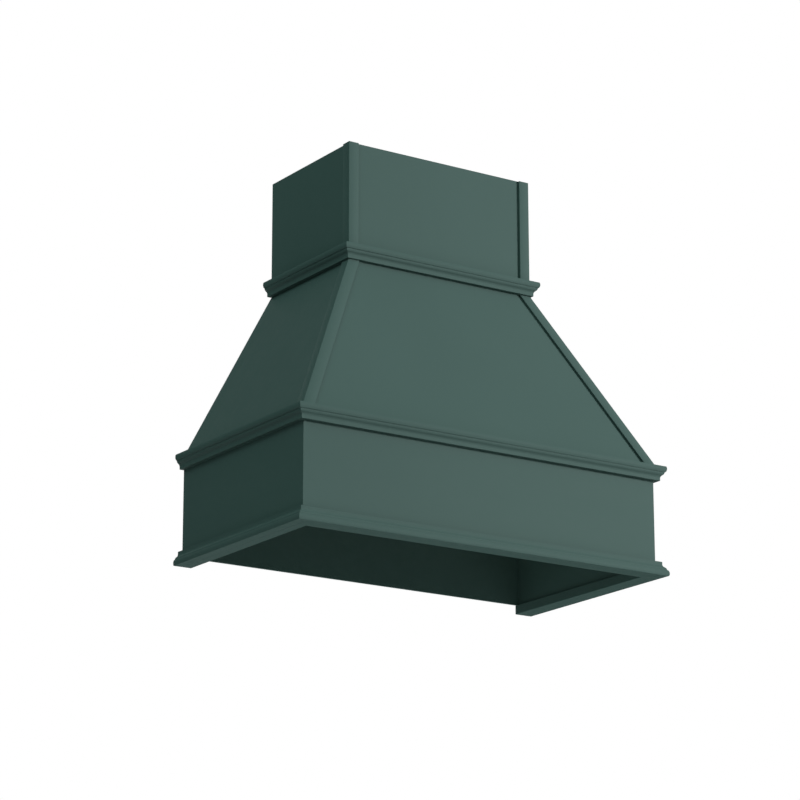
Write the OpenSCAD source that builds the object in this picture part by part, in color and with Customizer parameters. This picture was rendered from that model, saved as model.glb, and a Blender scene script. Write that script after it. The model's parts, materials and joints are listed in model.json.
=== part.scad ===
// Wooden range hood cover that hangs on a wall over a cooker.
// From the bottom up it has a plain apron, a canopy that tapers on three sides, and a square stack.
// A mitred moulding runs round the base, the shoulder and the neck, and L-shaped trims follow the front corners.
// The origin is the centre of the four wall screw holes, on the wall plane.
// +X is to the right as seen from the front, +Y points into the wall, and +Z is up.

/* [Apron] */
// Width of the apron over its side panels
apron_w = 914.4; // [760:0.1:1220]
// Depth of the apron from the wall to its front face
apron_d = 493; // [440:1:620]
// Height of the apron panels
apron_h = 228; // [180:1:400]
// Thickness of the apron panels
apron_t = 19; // [16:0.5:22]
// Thickness of the thin back panel of the apron
back_t = 6; // [4:0.5:9]
// Depth of the rabbet in each apron side that takes the back panel
back_rabbet = 9; // [5:0.5:12]

/* [Canopy] */
// Height of the tapered canopy
canopy_h = 403; // [300:1:600]
// Thickness of the canopy panels
canopy_t = 12; // [9:0.5:15]
// Leg of the glue blocks inside the canopy corners
glue_block_leg = 30; // [20:1:45]

/* [Stack] */
// Width of the stack over its side panels
stack_w = 477.5; // [455:0.1:700]
// Depth of the stack from the wall to its front face
stack_d = 326; // [250:1:400]
// Height of the stack above the canopy
stack_h = 273; // [180:1:900]
// Thickness of the stack panels
stack_t = 12; // [9:0.5:15]
// Side of the corner posts inside the stack
post_side = 19; // [15:1:30]
// Chamfer on the free edge of the corner posts
post_chamfer = 6; // [2:0.5:10]

/* [Corner trim] */
// Length of each leg of the corner trim, measured square to the corner
trim_leg = 25; // [15:1:40]
// Thickness of the corner trim
trim_t = 4.8; // [3:0.1:8]

/* [Moulding] */
// How far the moulding's nose stands out from the panel
nose_out = 22.4; // [20:0.1:30]
// Height of the moulding's nose
nose_h = 13.2; // [9:0.1:16]
// Radius of the curve on the face of the nose
nose_r = 13; // [10:0.5:20]
// Distance from the nose's free face to the line where it stands out most
nose_crest = 5.6; // [3:0.1:8]
// How far the S-shaped curve under the nose stands out where it starts
ogee_out = 18.4; // [15:0.1:19]
// Height of the S-shaped curve
ogee_h = 13.6; // [10:0.1:18]
// How far the flat toe of the moulding stands out
toe_out = 11; // [8:0.1:13]
// Height of the toe
toe_h = 5.6; // [3:0.1:9]

/* [Base rail] */
// Height of the rail under the apron panels
rail_h = 21; // [15:1:30]
// Width of that rail, from the apron's outer face inward
rail_w = 23; // [20:1:45]

/* [Inner frames] */
// Thickness of the strips that frame the inside of the shoulder and neck
strip_t = 19; // [15:1:25]
// Height of those strips
strip_h = 38; // [30:1:60]

/* [Wall fixing] */
// Distance between the two wall studs that the cover hangs on
stud_pitch = 406.4; // [300:0.1:410]
// Height of the two hanging rails
hang_rail_h = 70; // [60:1:100]
// Thickness of the two hanging rails
hang_rail_t = 19; // [15:1:25]
// Diameter of the holes for the wall screws
wall_hole_d = 6; // [5:0.5:8]

/* [Screws] */
// Diameter of the shank of the assembly screws
screw_d = 4; // [3:0.1:4.5]
// Diameter of their countersunk heads
screw_head_d = 8; // [7:0.1:9]
// Length of the screws in the shoulder frame
long_screw = 32; // [26:1:34]
// Length of the screws in the neck frame and hanging rails
short_screw = 25; // [22:1:27]
// Length of the tapered tip of each screw
screw_tip = 5; // [3:0.5:8]
// Diameter of the drilled pockets in the hanging rails
pocket_d = 9.5; // [9.2:0.1:11]
// Angle of those pockets to the face of the rail
pocket_angle = 15; // [12:1:18]
// Distance from the end of a hanging rail to the seat of its pocket screws
pocket_seat = 16; // [15:0.5:18]
// Thickness of the pan heads on the pocket screws
pan_head_h = 2.5; // [2:0.1:3.5]

/* [Clearances] */
// Play all round the back panel in its rabbets
back_play = 0.3; // [0.1:0.1:1]
// Play between a screw and its hole, on the radius
screw_play = 0.15; // [0.1:0.05:0.3]

/* [Hidden] */
// How far a cutting shape runs past the face that it cuts
overrun = 1;
// Sides of the round shapes
$fn = 64;

// The moulding's section, from its parts: the S-shaped curve is two equal arcs that meet halfway
moulding_h = nose_h + ogee_h + toe_h;
ogee_in = ogee_out - toe_out;
ogee_r = (ogee_in * ogee_in + ogee_h * ogee_h) / (4 * ogee_in);
ogee_top = toe_h + ogee_h;
ogee_middle = toe_h + ogee_h / 2;

// Heights, measured from the wall screws' centre
total_h = rail_h + apron_h + canopy_h + stack_h;
lower_row = rail_h + apron_h - hang_rail_h / 2;
upper_row = total_h - hang_rail_h / 2;
bottom_z = -(lower_row + upper_row) / 2;
carcass_z = bottom_z + rail_h;
shoulder_z = carcass_z + apron_h;
neck_z = shoulder_z + canopy_h;
top_z = neck_z + stack_h;
lower_row_z = bottom_z + lower_row;
upper_row_z = bottom_z + upper_row;

// The canopy's slopes: how far each face leans in, and its length along the slope
side_run = (apron_w - stack_w) / 2;
front_run = apron_d - stack_d;
side_slant = sqrt(side_run * side_run + canopy_h * canopy_h);
front_slant = sqrt(front_run * front_run + canopy_h * canopy_h);
corner_slant = sqrt(side_run * side_run + front_run * front_run + canopy_h * canopy_h);

// The same thickness, measured level instead of square to the sloping faces
side_in = canopy_t * side_slant / canopy_h;
front_in = canopy_t * front_slant / canopy_h;
trim_side_out = trim_t * side_slant / canopy_h;
trim_front_out = trim_t * front_slant / canopy_h;

// The same leg, measured level along the front and along the side
function level_leg_x(leg) = leg * corner_slant / front_slant;
function level_leg_y(leg) = leg * corner_slant / side_slant;

// Inside faces of the apron and of the stack
apron_in_x = apron_w / 2 - apron_t;
apron_in_y = apron_d - apron_t;
stack_in_x = stack_w / 2 - stack_t;
stack_in_y = stack_d - stack_t;

// Screws along each strip, as shares of half its length
front_screw_shares = [-0.75, -0.25, 0.25, 0.75];
side_screw_shares = [-0.6, 0, 0.6];
neck_screw_shares = [-0.55, 0.55];

// Height of the pocket screws over and under the middle of a hanging rail, as shares of half its height
pocket_shares = [-0.55, 0.55];

// Depth of the countersunk heads
screw_head_h = (screw_head_d - screw_d) / 2;

// Lengths of the strips along the sides
shoulder_side_l = apron_in_y - strip_t - back_t - hang_rail_t;
neck_side_l = stack_in_y - 2 * strip_t;

// Middle of those strips from the wall
shoulder_side_y = -(back_t + hang_rail_t + shoulder_side_l / 2);
neck_side_y = -(strip_t + neck_side_l / 2);

paint = "#516762";
bare_wood = "#C9AE84";
steel = "#B9BBB8";

// Helpers

// Plan of the front piece of a three-sided ring, mitred at both corners
function front_leg(w, d, t) = [
    [-w / 2, -d],
    [w / 2, -d],
    [w / 2 - t, t - d],
    [t - w / 2, t - d]
];

// Plan of the left piece of the same ring, mitred in front and square at the wall
function left_leg(w, d, t) = [
    [-w / 2, -d],
    [t - w / 2, t - d],
    [t - w / 2, 0],
    [-w / 2, 0]
];

// A straight-sided solid between one outline at height z0 and another at height z1.
// Each end is a fan of triangles from its first corner, which must see all the others.
module level_loft(low, high, z0, z1) {
    n = len(low);
    points = concat(
        [for (p = low) [p[0], p[1], z0]],
        [for (p = high) [p[0], p[1], z1]]
    );
    floor_fan = [for (i = [1:n - 2]) [0, i, i + 1]];
    roof_fan = [for (i = [1:n - 2]) [n, n + i + 1, n + i]];
    walls = [for (i = [0:n - 1]) [i, i + n, (i + 1) % n + n, (i + 1) % n]];
    polyhedron(points, concat(floor_fan, roof_fan, walls));
}

// The other hand of a left piece
module right_hand() {
    mirror([1, 0, 0]) children();
}

// A screw with its head's top at the origin, pointing down; grow widens it for its hole
module flat_head_screw(length, grow = 0) {
    head_r = screw_head_d / 2 + grow;
    shank_r = screw_d / 2 + grow;
    rotate_extrude()
        polygon([
            [0, grow > 0 ? overrun : 0],
            [head_r, grow > 0 ? overrun : 0],
            [head_r, 0],
            [shank_r, -screw_head_h],
            [shank_r, screw_tip - length - grow],
            [0, -length - grow]
        ]);
}

// A pan head screw with the underside of its head at the origin, pointing down
module pan_head_screw(length, grow = 0) {
    head_r = screw_head_d / 2;
    shank_r = screw_d / 2 + grow;
    rotate_extrude()
        polygon([
            [0, grow > 0 ? overrun : pan_head_h],
            [grow > 0 ? shank_r : head_r - pan_head_h / 2, grow > 0 ? overrun : pan_head_h],
            [grow > 0 ? shank_r : head_r, 0],
            [shank_r, 0],
            [shank_r, screw_tip - length - grow],
            [0, -length - grow]
        ]);
}

// Moulding

// Section of the moulding: a curved nose at the top, then a step, an S-shaped curve and a flat toe
module moulding_section() {
    square([toe_out, moulding_h]);
    intersection() {
        translate([nose_out - nose_r, moulding_h - nose_crest]) circle(nose_r);
        translate([0, ogee_top]) square([nose_out + overrun, nose_h]);
    }
    intersection() {
        translate([ogee_out - ogee_r, ogee_top]) circle(ogee_r);
        translate([0, ogee_middle]) square([ogee_out + overrun, ogee_h / 2 + nose_h / 2]);
    }
    difference() {
        translate([0, toe_h]) square([toe_out + ogee_in / 2, ogee_h / 2]);
        translate([toe_out + ogee_r, toe_h]) circle(ogee_r);
    }
}

// Front length of moulding on a box of width w and depth d, mitred at both ends
module moulding_front(w, d, z) {
    reach = nose_out + overrun;
    run = w + 2 * reach;
    intersection() {
        translate([run / 2 + overrun, -d, z])
            rotate([90, 0, -90])
                linear_extrude(run + 2 * overrun) moulding_section();
        translate([0, 0, z - overrun])
            linear_extrude(moulding_h + 2 * overrun)
                polygon(front_leg(run, d + reach, reach));
    }
}

// Left length of moulding, mitred in front and cut square at the wall
module moulding_left(w, d, z) {
    reach = nose_out + overrun;
    intersection() {
        translate([-w / 2, -d - reach - overrun, z])
            rotate([90, 0, 180])
                linear_extrude(d + reach + 2 * overrun) moulding_section();
        translate([0, 0, z - overrun])
            linear_extrude(moulding_h + 2 * overrun)
                polygon(left_leg(w + 2 * reach, d + reach, reach));
    }
}

// The same moulding upside down, with its nose on height z
module upside_down(z) {
    translate([0, 0, z + moulding_h]) mirror([0, 0, 1]) children();
}

// Base

module base_rail_front() {
    color(paint)
        translate([0, 0, bottom_z])
            linear_extrude(rail_h) polygon(front_leg(apron_w, apron_d, rail_w));
}

module base_rail_left() {
    color(paint)
        translate([0, 0, bottom_z])
            linear_extrude(rail_h) polygon(left_leg(apron_w, apron_d, rail_w));
}

module base_moulding_front() {
    color(paint) upside_down(bottom_z) moulding_front(apron_w, apron_d, 0);
}

module base_moulding_left() {
    color(paint) upside_down(bottom_z) moulding_left(apron_w, apron_d, 0);
}

// Apron

module apron_front() {
    color(paint)
        difference() {
            translate([0, 0, carcass_z])
                linear_extrude(apron_h) polygon(front_leg(apron_w, apron_d, apron_t));
            shoulder_front_screws(screw_play);
        }
}

module apron_left() {
    color(paint)
        difference() {
            translate([0, 0, carcass_z])
                linear_extrude(apron_h) polygon(left_leg(apron_w, apron_d, apron_t));
            translate([-apron_in_x - back_rabbet, -back_t, carcass_z - overrun])
                cube([back_rabbet + overrun, back_t + overrun, apron_h + 2 * overrun]);
            shoulder_left_screws(screw_play);
            lower_pocket_screws(screw_play);
        }
}

module apron_back() {
    half_w = apron_in_x + back_rabbet - back_play;
    color(paint)
        difference() {
            translate([-half_w, -back_t, carcass_z]) cube([2 * half_w, back_t, apron_h]);
            wall_holes(lower_row_z);
        }
}

module shoulder_moulding_front() {
    color(paint) moulding_front(apron_w, apron_d, shoulder_z - moulding_h);
}

module shoulder_moulding_left() {
    color(paint) moulding_left(apron_w, apron_d, shoulder_z - moulding_h);
}

// Frame inside the shoulder: it stiffens the apron, and the liner is screwed up under it

module shoulder_front_screws(grow = 0) {
    for (share = front_screw_shares)
        translate([share * apron_in_x, strip_t - apron_in_y, shoulder_z - strip_h / 2])
            rotate([-90, 0, 0]) flat_head_screw(long_screw, grow);
}

module shoulder_left_screws(grow = 0) {
    for (share = side_screw_shares)
        translate([
            strip_t - apron_in_x,
            shoulder_side_y + share * shoulder_side_l / 2,
            shoulder_z - strip_h / 2
        ])
            rotate([0, 90, 0]) flat_head_screw(long_screw, grow);
}

module shoulder_frame_front() {
    color(bare_wood)
        difference() {
            translate([-apron_in_x, -apron_in_y, shoulder_z - strip_h])
                cube([2 * apron_in_x, strip_t, strip_h]);
            shoulder_front_screws(screw_play);
        }
}

module shoulder_frame_left() {
    color(bare_wood)
        difference() {
            translate([-apron_in_x, strip_t - apron_in_y, shoulder_z - strip_h])
                cube([strip_t, shoulder_side_l, strip_h]);
            shoulder_left_screws(screw_play);
        }
}

module shoulder_frame_screws() {
    color(steel) {
        shoulder_front_screws();
        shoulder_left_screws();
        right_hand() shoulder_left_screws();
    }
}

// Hanging rails

// The two holes for wall screws at height z
module wall_holes(z) {
    for (side = [-1, 1])
        translate([side * stud_pitch / 2, overrun, z])
            rotate([90, 0, 0])
                cylinder(h = back_t + hang_rail_t + 2 * overrun, d = wall_hole_d);
}

// Moves a screw to its pocket at the left end of a rail, whose end is at x = -half_w and middle at y and z
module at_left_pockets(half_w, y, z) {
    for (share = pocket_shares)
        translate([-half_w, y, z + share * hang_rail_h / 2])
            rotate([0, 0, -pocket_angle])
                translate([pocket_seat, 0, 0])
                    rotate([0, 90, 0]) children();
}

module lower_pocket_screws(grow = 0) {
    at_left_pockets(apron_in_x, -back_t - hang_rail_t / 2, lower_row_z)
        pan_head_screw(short_screw, grow);
}

module upper_pocket_screws(grow = 0) {
    at_left_pockets(stack_in_x, -hang_rail_t / 2, upper_row_z)
        pan_head_screw(short_screw, grow);
}

// The drilled pockets at the left end of a rail
module left_pockets(half_w, y, z) {
    pocket_l = hang_rail_t / sin(pocket_angle) + pocket_d;
    at_left_pockets(half_w, y, z)
        cylinder(h = pocket_l, d = pocket_d);
}

module lower_hanging_rail() {
    middle_y = -back_t - hang_rail_t / 2;
    color(bare_wood)
        difference() {
            translate([-apron_in_x, middle_y - hang_rail_t / 2, lower_row_z - hang_rail_h / 2])
                cube([2 * apron_in_x, hang_rail_t, hang_rail_h]);
            wall_holes(lower_row_z);
            left_pockets(apron_in_x, middle_y, lower_row_z);
            lower_pocket_screws(screw_play);
            right_hand() left_pockets(apron_in_x, middle_y, lower_row_z);
            right_hand() lower_pocket_screws(screw_play);
        }
}

module upper_hanging_rail() {
    color(bare_wood)
        difference() {
            translate([-stack_in_x, -hang_rail_t, upper_row_z - hang_rail_h / 2])
                cube([2 * stack_in_x, hang_rail_t, hang_rail_h]);
            wall_holes(upper_row_z);
            left_pockets(stack_in_x, -hang_rail_t / 2, upper_row_z);
            upper_pocket_screws(screw_play);
            right_hand() left_pockets(stack_in_x, -hang_rail_t / 2, upper_row_z);
            right_hand() upper_pocket_screws(screw_play);
        }
}

module hanging_rail_screws() {
    color(steel) {
        lower_pocket_screws();
        upper_pocket_screws();
        right_hand() lower_pocket_screws();
        right_hand() upper_pocket_screws();
    }
}

// Canopy: each panel runs from its outline at the shoulder to its outline at the neck

// Plan of the front panel, whose ends are compound mitres
function canopy_front_plan(w, d) = [
    [-w / 2, -d],
    [w / 2, -d],
    [w / 2 - side_in, front_in - d],
    [side_in - w / 2, front_in - d]
];

function canopy_left_plan(w, d) = [
    [-w / 2, -d],
    [side_in - w / 2, front_in - d],
    [side_in - w / 2, 0],
    [-w / 2, 0]
];

// Plan of the glue block in the canopy's left corner
function glue_block_plan(w, d) = [
    [side_in - w / 2, front_in - d],
    [side_in - w / 2 + level_leg_x(glue_block_leg), front_in - d],
    [side_in - w / 2, front_in - d + level_leg_y(glue_block_leg)]
];

// Plan of an L-shaped trim round the left corner, from its two thicknesses and two legs
function trim_plan(w, d, side_out, front_out, leg_x, leg_y) = [
    [-w / 2 - side_out, -d - front_out],
    [-w / 2 - side_out + leg_x, -d - front_out],
    [-w / 2 - side_out + leg_x, -d],
    [-w / 2, -d],
    [-w / 2, -d - front_out + leg_y],
    [-w / 2 - side_out, -d - front_out + leg_y]
];

function canopy_trim_plan(w, d) = trim_plan(
    w, d, trim_side_out, trim_front_out, level_leg_x(trim_leg), level_leg_y(trim_leg)
);

module canopy_front() {
    color(paint)
        level_loft(
            canopy_front_plan(apron_w, apron_d), canopy_front_plan(stack_w, stack_d),
            shoulder_z, neck_z
        );
}

module canopy_left() {
    color(paint)
        level_loft(
            canopy_left_plan(apron_w, apron_d), canopy_left_plan(stack_w, stack_d),
            shoulder_z, neck_z
        );
}

module canopy_glue_block_left() {
    color(bare_wood)
        level_loft(
            glue_block_plan(apron_w, apron_d), glue_block_plan(stack_w, stack_d),
            shoulder_z, neck_z
        );
}

module canopy_corner_trim_left() {
    color(paint)
        level_loft(
            canopy_trim_plan(apron_w, apron_d), canopy_trim_plan(stack_w, stack_d),
            shoulder_z, neck_z
        );
}

// Frame inside the neck: it stands on the canopy panels and holds the stack

module neck_front_screws(grow = 0) {
    for (share = neck_screw_shares)
        translate([share * stack_in_x, strip_t - stack_in_y, neck_z + strip_h / 2])
            rotate([-90, 0, 0]) flat_head_screw(short_screw, grow);
}

module neck_left_screws(grow = 0) {
    for (share = neck_screw_shares)
        translate([
            strip_t - stack_in_x,
            neck_side_y + share * neck_side_l / 2,
            neck_z + strip_h / 2
        ])
            rotate([0, 90, 0]) flat_head_screw(short_screw, grow);
}

module neck_frame_front() {
    color(bare_wood)
        difference() {
            translate([-stack_in_x, -stack_in_y, neck_z])
                cube([2 * stack_in_x, strip_t, strip_h]);
            neck_front_screws(screw_play);
        }
}

module neck_frame_left() {
    color(bare_wood)
        difference() {
            translate([-stack_in_x, strip_t - stack_in_y, neck_z])
                cube([strip_t, neck_side_l, strip_h]);
            neck_left_screws(screw_play);
        }
}

module neck_frame_back() {
    color(bare_wood)
        translate([-stack_in_x, -strip_t, neck_z])
            cube([2 * stack_in_x, strip_t, strip_h]);
}

module neck_frame_screws() {
    color(steel) {
        neck_front_screws();
        neck_left_screws();
        right_hand() neck_left_screws();
    }
}

module neck_moulding_front() {
    color(paint) moulding_front(stack_w, stack_d, neck_z);
}

module neck_moulding_left() {
    color(paint) moulding_left(stack_w, stack_d, neck_z);
}

// Stack

module stack_front() {
    color(paint)
        difference() {
            translate([-stack_w / 2, -stack_d, neck_z]) cube([stack_w, stack_t, stack_h]);
            neck_front_screws(screw_play);
        }
}

module stack_left() {
    color(paint)
        difference() {
            translate([-stack_w / 2, -stack_in_y, neck_z])
                cube([stack_t, stack_in_y, stack_h]);
            neck_left_screws(screw_play);
            upper_pocket_screws(screw_play);
        }
}

module stack_post_left() {
    color(bare_wood)
        translate([-stack_in_x, -stack_in_y, neck_z + strip_h])
            linear_extrude(stack_h - strip_h)
                polygon([
                    [0, 0],
                    [post_side, 0],
                    [post_side, post_side - post_chamfer],
                    [post_side - post_chamfer, post_side],
                    [0, post_side]
                ]);
}

module stack_corner_trim_left() {
    color(paint)
        translate([0, 0, neck_z + moulding_h])
            linear_extrude(stack_h - moulding_h)
                polygon(trim_plan(stack_w, stack_d, trim_t, trim_t, trim_leg, trim_leg));
}

base_rail_front();
base_rail_left();
right_hand() base_rail_left();  // base_rail_right
base_moulding_front();
base_moulding_left();
right_hand() base_moulding_left();  // base_moulding_right
apron_front();
apron_left();
right_hand() apron_left();  // apron_right
apron_back();
shoulder_frame_front();
shoulder_frame_left();
right_hand() shoulder_frame_left();  // shoulder_frame_right
lower_hanging_rail();
shoulder_moulding_front();
shoulder_moulding_left();
right_hand() shoulder_moulding_left();  // shoulder_moulding_right
canopy_front();
canopy_left();
right_hand() canopy_left();  // canopy_right
canopy_glue_block_left();
right_hand() canopy_glue_block_left();  // canopy_glue_block_right
canopy_corner_trim_left();
right_hand() canopy_corner_trim_left();  // canopy_corner_trim_right
neck_frame_front();
neck_frame_left();
right_hand() neck_frame_left();  // neck_frame_right
neck_frame_back();
neck_moulding_front();
neck_moulding_left();
right_hand() neck_moulding_left();  // neck_moulding_right
stack_front();
stack_left();
right_hand() stack_left();  // stack_right
stack_post_left();
right_hand() stack_post_left();  // stack_post_right
stack_corner_trim_left();
right_hand() stack_corner_trim_left();  // stack_corner_trim_right
upper_hanging_rail();
shoulder_frame_screws();
neck_frame_screws();
hanging_rail_screws();
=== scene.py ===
"""The looks of the wooden range hood cover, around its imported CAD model.

Every node keeps its CAD shape. This script paints the wood, rounds the long edges of the mouldings and
base rails, shades the corner trims, and sets the camera, the lamps and the backdrop. Everything is in
metres, in the frame of the CAD model: +X to the right, +Y into the wall, +Z up.
"""

import json
import math
from collections import defaultdict
from typing import NamedTuple

import bpy
from mathutils import Matrix, Vector


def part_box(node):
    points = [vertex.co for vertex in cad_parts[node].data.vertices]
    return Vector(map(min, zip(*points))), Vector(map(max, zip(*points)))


# The camera, as fitted to the edges of the photograph. Its place is counted from the middle of the wall
# line under the cover: to the side, from the wall, and up from the base.
CAMERA_FROM_BASE = Vector((-3.6325, -5.5903, -1.4682))
CAMERA_YAW = math.radians(33.813)
CAMERA_PITCH = math.radians(16.048)
CAMERA_ROLL = math.radians(0.064)
CAMERA_REACH = 60.0
FOCAL_PIXELS = 3031.1
IMAGE_PIXELS = 800.0
SENSOR_MM = 36.0

# The floor lies below the camera, as the cover hangs on a wall. Its glow is for the camera alone, so that
# it looks pale, lights the cover no more, and still keeps the cover's shadow.
FLOOR_BELOW_BASE = 2.2
FLOOR_REACH = 14.0
FLOOR_DARK = (0.48, 0.48, 0.48, 1.0)
FLOOR_LIGHT = (0.54, 0.54, 0.54, 1.0)
FLOOR_GLOW = (0.76, 0.76, 0.76, 1.0)

# The light that the surround gives. The camera, reflections and glass see the surround as white.
AMBIENT = (0.142, 0.182, 0.178, 1.0)
WHITE = (1.0, 1.0, 1.0, 1.0)


class Lamp(NamedTuple):
    """A square soft lamp. Azimuth 0 is straight in front of the cover, and 90 to its right."""

    name: str
    azimuth: float
    elevation: float
    distance: float
    size: float
    watts: float
    colour: tuple


WARM = (1.0, 0.86, 0.88)
COOL = (0.80, 1.0, 0.97)
NEUTRAL = (1.0, 1.0, 1.0)
LAMP_TARGET = Vector((0.0, -0.25, -0.1))
LAMPS = [
    Lamp("key", 43, 8, distance=6.5, size=1.3, watts=485.0, colour=WARM),
    Lamp("fill", -60, 30, distance=4.5, size=2.5, watts=36.0, colour=COOL),
    Lamp("top", -100, 65, distance=4.5, size=2.5, watts=13.0, colour=COOL),
    Lamp("low", 0, -85, distance=2.2, size=0.8, watts=4.9, colour=COOL),
    Lamp("back", 180, -18, distance=4.5, size=2.5, watts=60.0, colour=NEUTRAL),
]

# Colours, and how much the paint's shade varies to either side
PAINT = (0.0625, 0.116, 0.1035)
PAINT_VARIATION = 0.02
PINE_EARLY = (0.60, 0.42, 0.24, 1.0)
PINE_LATE = (0.42, 0.26, 0.13, 1.0)
ZINC_DARK = (0.50, 0.52, 0.53, 1.0)
ZINC_LIGHT = (0.66, 0.67, 0.66, 1.0)

# The range that a noise texture mostly keeps to
NOISE_LOW = 0.3
NOISE_HIGH = 0.7

# How much the grain's pattern is drawn out along a board
GRAIN_STRETCH = {"X": (0.06, 1, 1), "Y": (1, 0.06, 1), "Z": (1, 1, 0.06)}

# The strips whose long edges are rounded, and by how much
ROUNDED_STRIPS = {"moulding": 0.001, "base_rail": 0.001}
ROUND_STEPS = 3

# An edge counts as long from this length, and as a crease from this turn of its faces
LONG_EDGE = 0.1
CREASE = math.radians(40)

# Points closer than this are joined, and places are told apart to this many decimals
WELD_GAP = 0.00001
PLACE_DECIMALS = 6

# How far a corner trim's shading is tilted at the two edges of each face, and how far the points of one
# end of a trim may differ in height
TRIM_CROWN = math.radians(10)
TRIM_END_PLAY = 0.0015


def link(obj):
    bpy.context.scene.collection.objects.link(obj)
    return obj


class Nodes:
    """A short way to build a material's node tree."""

    def __init__(self, name):
        self.material = bpy.data.materials.new(name)
        self.material.use_nodes = True
        self.tree = self.material.node_tree
        self.shader = self.tree.nodes["Principled BSDF"]
        self.coords = self.add("ShaderNodeTexCoord").outputs["Object"]

    def add(self, kind, **inputs):
        """A new node. Each input is a value or a socket, under its name with underscores for spaces."""
        node = self.tree.nodes.new(kind)
        for name, value in inputs.items():
            self.put(node.inputs[name.replace("_", " ")], value)
        return node

    def put(self, socket, value):
        if isinstance(value, bpy.types.NodeSocket):
            self.tree.links.new(value, socket)
        else:
            socket.default_value = value

    def shade(self, name, value):
        self.put(self.shader.inputs[name], value)

    def noise(self, scale, detail=3.0, roughness=0.5, stretch=(1, 1, 1)):
        mapping = self.add("ShaderNodeMapping", Vector=self.coords, Scale=stretch)
        place = mapping.outputs["Vector"]
        node = self.add("ShaderNodeTexNoise", Vector=place, Scale=scale, Detail=detail, Roughness=roughness)
        return node.outputs["Fac"]

    def spread(self, value, low, high):
        """The value, taken from the range that a noise mostly keeps to, to the range low to high."""
        node = self.add("ShaderNodeMapRange", Value=value, From_Min=NOISE_LOW, From_Max=NOISE_HIGH)
        self.put(node.inputs["To Min"], low)
        self.put(node.inputs["To Max"], high)
        return node.outputs["Result"]

    def math(self, operation, a, b):
        node = self.add("ShaderNodeMath")
        node.operation = operation
        self.put(node.inputs[0], a)
        self.put(node.inputs[1], b)
        return node.outputs["Value"]

    def mix(self, share, a, b):
        """The colour between a and b."""
        node = self.add("ShaderNodeMix")
        node.data_type = "RGBA"
        self.put(node.inputs[0], share)
        self.put(node.inputs[6], a)
        self.put(node.inputs[7], b)
        return node.outputs[2]

    def bump(self, height, distance, strength):
        node = self.add("ShaderNodeBump", Height=height, Distance=distance, Strength=strength)
        return node.outputs["Normal"]


def paint_material(name, stretch):
    """Sprayed satin paint: an even colour, a fine orange peel, and a trace of the grain along the board."""
    n = Nodes(name)
    grain = n.noise(scale=60.0, detail=4.0, roughness=0.55, stretch=stretch)
    peel = n.noise(scale=700.0, detail=2.0)
    cloud = n.noise(scale=2.5, detail=2.0)
    darker = (*((1 - PAINT_VARIATION) * c for c in PAINT), 1.0)
    lighter = (*((1 + PAINT_VARIATION) * c for c in PAINT), 1.0)
    n.shade("Base Color", n.mix(n.spread(cloud, 0.0, 1.0), darker, lighter))
    n.shade("Specular IOR Level", 0.02)
    n.shade("Roughness", n.spread(grain, 0.56, 0.62))
    height = n.math("ADD", n.math("MULTIPLY", grain, 0.3), peel)
    n.shade("Normal", n.bump(height, distance=0.00003, strength=0.5))
    return n.material


def wood_material(name, stretch):
    """Bare pine: growth rings stretched along the board, fine pores and a dull surface."""
    n = Nodes(name)
    rings = n.noise(scale=35.0, detail=4.0, roughness=0.6, stretch=stretch)
    pores = n.noise(scale=220.0, roughness=0.6, stretch=stretch)
    n.shade("Base Color", n.mix(n.spread(rings, 0.0, 1.0), PINE_EARLY, PINE_LATE))
    n.shade("Roughness", n.spread(pores, 0.62, 0.78))
    n.shade("Normal", n.bump(pores, distance=0.0002, strength=0.7))
    return n.material


def zinc_material(name, stretch):
    """Zinc-plated steel: a slightly cloudy gloss and fine scratches, with no direction to stretch along."""
    n = Nodes(name)
    cloud = n.noise(scale=300.0)
    n.shade("Metallic", 1.0)
    n.shade("Base Color", n.mix(cloud, ZINC_DARK, ZINC_LIGHT))
    n.shade("Roughness", n.spread(cloud, 0.25, 0.45))
    n.shade("Normal", n.bump(n.noise(scale=1500.0), distance=0.00005, strength=0.5))
    return n.material


def floor_material():
    """A pale, dull floor that is clear from below, so that the cover can be seen from underneath."""
    n = Nodes("floor")
    n.shade("Base Color", n.mix(n.noise(scale=0.6), FLOOR_DARK, FLOOR_LIGHT))
    n.shade("Roughness", 0.9)
    n.shade("Emission Color", FLOOR_GLOW)
    n.shade("Emission Strength", n.add("ShaderNodeLightPath").outputs["Is Camera Ray"])
    one_sided = n.add("ShaderNodeMixShader")
    n.put(one_sided.inputs[0], n.add("ShaderNodeNewGeometry").outputs["Backfacing"])
    n.put(one_sided.inputs[1], n.shader.outputs["BSDF"])
    n.put(one_sided.inputs[2], n.add("ShaderNodeBsdfTransparent").outputs["BSDF"])
    n.put(n.tree.nodes["Material Output"].inputs["Surface"], one_sided.outputs["Shader"])
    return n.material


MATERIALS = {"painted_wood": paint_material, "bare_wood": wood_material, "steel": zinc_material}


def board_direction(name):
    """The axis that a board's grain runs along, from its name: X, Y or Z."""
    if name.startswith(("stack_", "canopy_")):
        return "Z"
    if "left" in name or "right" in name:
        return "Y"
    return "X"


def dress(nodes, slots):
    """Gives each CAD node its material, with the grain along its board."""
    made = {}
    for name, obj in nodes.items():
        slot, direction = slots[name], board_direction(name)
        if (slot, direction) not in made:
            title = f"{slot}_along_{direction.lower()}"
            made[slot, direction] = MATERIALS[slot](title, GRAIN_STRETCH[direction])
        obj.data.materials.clear()
        obj.data.materials.append(made[slot, direction])


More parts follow.
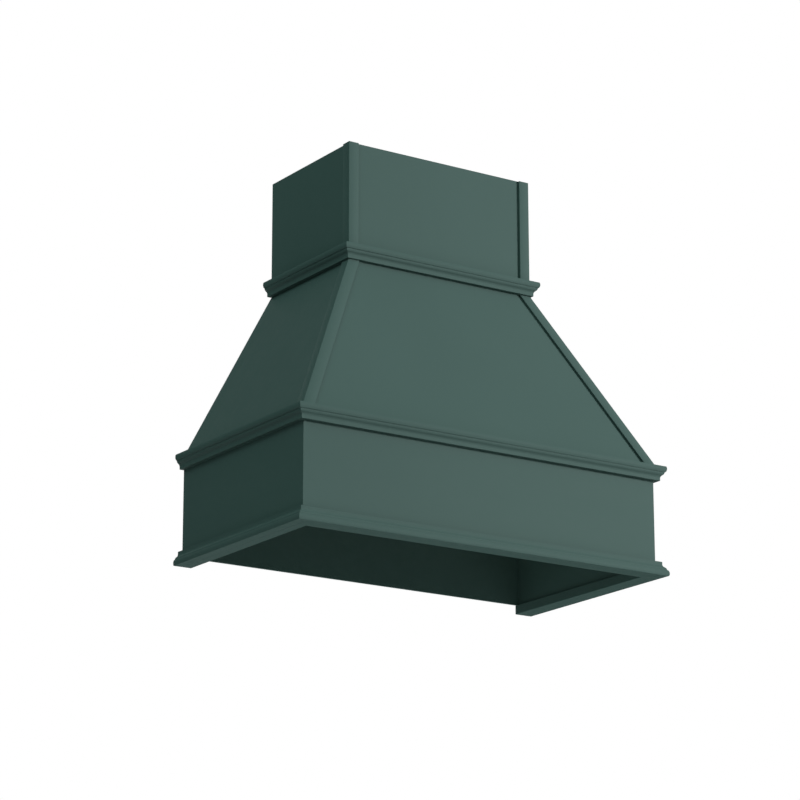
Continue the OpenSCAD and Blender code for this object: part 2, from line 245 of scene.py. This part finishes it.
def long_creases(mesh):
    """The long edges where a strip's faces meet at an angle.

    The CAD file keeps the faces apart, so the faces that meet at an edge are found by its place.
    """
    places = [tuple(round(c, PLACE_DECIMALS) for c in vertex.co) for vertex in mesh.vertices]
    normals_at = defaultdict(list)
    for face in mesh.polygons:
        for a, b in face.edge_keys:
            normals_at[frozenset((places[a], places[b]))].append(face.normal.copy())
    creases = []
    for edge in mesh.edges:
        a, b = edge.vertices
        normals = normals_at[frozenset((places[a], places[b]))]
        turn = max(normals[0].angle(normal) for normal in normals)
        length = (mesh.vertices[a].co - mesh.vertices[b].co).length
        if turn > CREASE and length > LONG_EDGE:
            creases.append(edge.index)
    return creases


def round_edges(obj, width):
    """Rounds the long edges of a strip by a small radius, as sanding and paint do. Its ends stay crisp."""
    mesh = obj.data
    weights = mesh.attributes.new("bevel_weight_edge", "FLOAT", "EDGE")
    for index in long_creases(mesh):
        weights.data[index].value = 1.0
    for face in mesh.polygons:
        corners = [mesh.vertices[i].co for i in face.vertices]
        face.use_smooth = max((a - b).length for a in corners for b in corners) > LONG_EDGE
    mesh.attributes.remove(mesh.attributes["custom_normal"])

    join = obj.modifiers.new("joined_faces", "WELD")
    join.merge_threshold = WELD_GAP
    bevel = obj.modifiers.new("rounded_edges", "BEVEL")
    bevel.width = width
    bevel.segments = ROUND_STEPS
    bevel.limit_method = "WEIGHT"
    bevel.harden_normals = True


def trim_direction(mesh):
    """The direction that a corner trim runs in, from the middle of its bottom end to that of its top."""
    heights = [vertex.co.z for vertex in mesh.vertices]
    ends = []
    for height in (min(heights), max(heights)):
        end = [vertex.co for vertex in mesh.vertices if abs(vertex.co.z - height) < TRIM_END_PLAY]
        ends.append(sum(end, Vector()) / len(end))
    return (ends[1] - ends[0]).normalized()


def crown_faces(obj, tilt):
    """Shades the long faces of a corner trim as slightly crowned across, as planed and sanded strips are."""
    mesh = obj.data
    along = trim_direction(mesh)
    normals = [None] * len(mesh.loops)
    for face in mesh.polygons:
        across = face.normal.cross(along)
        places = [mesh.vertices[i].co.dot(across) for i in face.vertices]
        middle = (max(places) + min(places)) / 2
        for loop, place in zip(face.loop_indices, places):
            side = (place > middle) - (place < middle)
            normals[loop] = (face.normal + side * math.tan(tilt) * across).normalized()
        is_end = across.length < 0.5
        face.use_smooth = not is_end
    mesh.normals_split_custom_set(normals)


def finish_strips(nodes):
    for name, obj in nodes.items():
        for kind, width in ROUNDED_STRIPS.items():
            if kind in name:
                round_edges(obj, width)
        if "trim" in name:
            crown_faces(obj, TRIM_CROWN)


def camera(base_z):
    data = bpy.data.cameras.new("camera")
    data.sensor_width = SENSOR_MM
    data.lens = FOCAL_PIXELS * SENSOR_MM / IMAGE_PIXELS
    data.clip_end = CAMERA_REACH
    obj = link(bpy.data.objects.new("camera", data))
    level = Vector((math.sin(CAMERA_YAW), math.cos(CAMERA_YAW), 0.0))
    forward = level * math.cos(CAMERA_PITCH) + Vector((0.0, 0.0, math.sin(CAMERA_PITCH)))
    right = Vector((math.cos(CAMERA_YAW), -math.sin(CAMERA_YAW), 0.0))
    up = right.cross(forward)
    roll = Matrix.Rotation(CAMERA_ROLL, 3, forward)
    pose = Matrix((roll @ right, roll @ up, -forward)).transposed().to_4x4()
    pose.translation = CAMERA_FROM_BASE + Vector((0.0, 0.0, base_z))
    obj.matrix_world = pose
    bpy.context.scene.camera = obj


def area_lamp(lamp):
    """Places a lamp so that it points at the cover."""
    data = bpy.data.lights.new(lamp.name, "AREA")
    data.size = lamp.size
    data.energy = lamp.watts
    data.color = lamp.colour
    obj = link(bpy.data.objects.new(lamp.name, data))
    turn, rise = math.radians(lamp.azimuth), math.radians(lamp.elevation)
    away = Vector((math.sin(turn) * math.cos(rise), -math.cos(turn) * math.cos(rise), math.sin(rise)))
    obj.location = LAMP_TARGET + lamp.distance * away
    obj.rotation_euler = away.to_track_quat("Z", "Y").to_euler()


def floor(base_z):
    z = base_z - FLOOR_BELOW_BASE
    mesh = bpy.data.meshes.new("floor")
    corners = [(x * FLOOR_REACH, y * FLOOR_REACH, z) for x, y in ((-1, -1), (1, -1), (1, 1), (-1, 1))]
    mesh.from_pydata(corners, [], [(0, 1, 2, 3)])
    mesh.materials.append(floor_material())
    link(bpy.data.objects.new("floor", mesh))


def surround():
    """A plain surround that gives its ambient light and is seen as white."""
    world = bpy.data.worlds.new("surround")
    bpy.context.scene.world = world
    world.use_nodes = True
    tree = world.node_tree
    rays = tree.nodes.new("ShaderNodeLightPath")
    seen = rays.outputs["Is Camera Ray"]
    for kind in ("Is Transmission Ray", "Is Glossy Ray"):
        either = tree.nodes.new("ShaderNodeMath")
        either.operation = "MAXIMUM"
        tree.links.new(seen, either.inputs[0])
        tree.links.new(rays.outputs[kind], either.inputs[1])
        seen = either.outputs["Value"]
    colour = tree.nodes.new("ShaderNodeMix")
    colour.data_type = "RGBA"
    colour.inputs[6].default_value = AMBIENT
    colour.inputs[7].default_value = WHITE
    tree.links.new(seen, colour.inputs[0])
    tree.links.new(colour.outputs[2], tree.nodes["Background"].inputs["Color"])


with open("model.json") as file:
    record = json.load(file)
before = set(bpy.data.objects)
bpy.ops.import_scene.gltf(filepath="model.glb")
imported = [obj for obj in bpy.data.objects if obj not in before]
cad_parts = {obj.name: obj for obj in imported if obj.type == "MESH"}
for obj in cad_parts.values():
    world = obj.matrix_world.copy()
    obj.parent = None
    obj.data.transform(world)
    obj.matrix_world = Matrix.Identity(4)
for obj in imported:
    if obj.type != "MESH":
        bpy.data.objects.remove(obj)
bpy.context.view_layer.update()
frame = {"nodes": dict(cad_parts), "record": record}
base_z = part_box("base_rail_front")[0][2]
slots = {part["node"]: part["material_slot"] for part in frame["record"]["subparts"]}

dress(frame["nodes"], slots)
finish_strips(frame["nodes"])
camera(base_z)
floor(base_z)
surround()
for lamp in LAMPS:
    area_lamp(lamp)
bpy.context.scene.view_settings.view_transform = "Standard"
